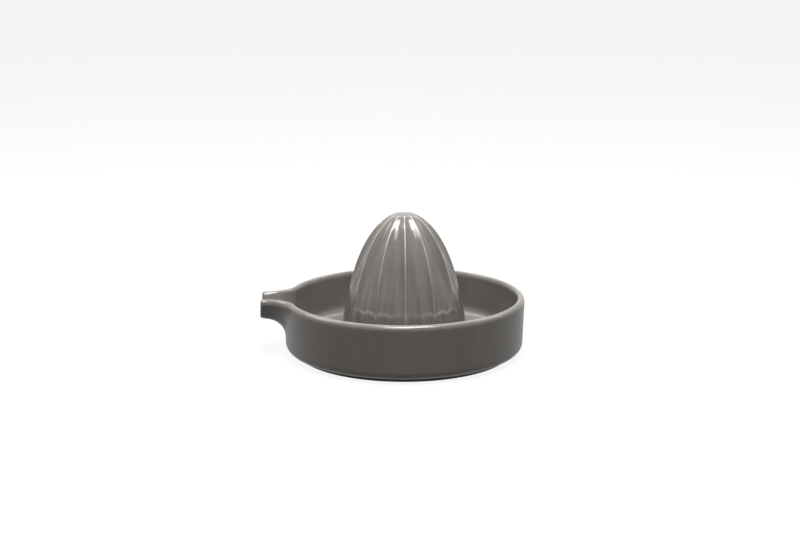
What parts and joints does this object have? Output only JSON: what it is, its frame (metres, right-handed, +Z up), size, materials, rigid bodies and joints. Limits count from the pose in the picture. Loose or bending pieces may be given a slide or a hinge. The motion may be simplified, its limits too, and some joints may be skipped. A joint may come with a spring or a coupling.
{
  "type": "citrus juicer",
  "caption": "Hand citrus juicer of glazed ceramic: a ribbed cone stands in a shallow round dish that catches the juice, with an open pouring spout at the rim.",
  "frame": {"origin": "middle of the object's footprint, on the bench that the foot ring stands on; the bowl's own axis is at x = +7 mm", "axes": "+Z up along the cone; the spout points along -X; +Y to the left for someone looking along +X"},
  "size_m": [0.159, 0.145, 0.0848],
  "materials": {
    "bowl_glaze": "warm grey glaze, glossy",
    "cone_glaze": "warm grey glaze, glossy",
    "spout_glaze": "warm grey glaze, glossy",
    "bare_clay": "unglazed stoneware, matt"
  },
  "bodies": {
    "root": {"bowl": "bowl_glaze", "reamer_cone": "cone_glaze", "pouring_spout": "spout_glaze", "foot_ring": "bare_clay"}
  },
  "joints": []
}
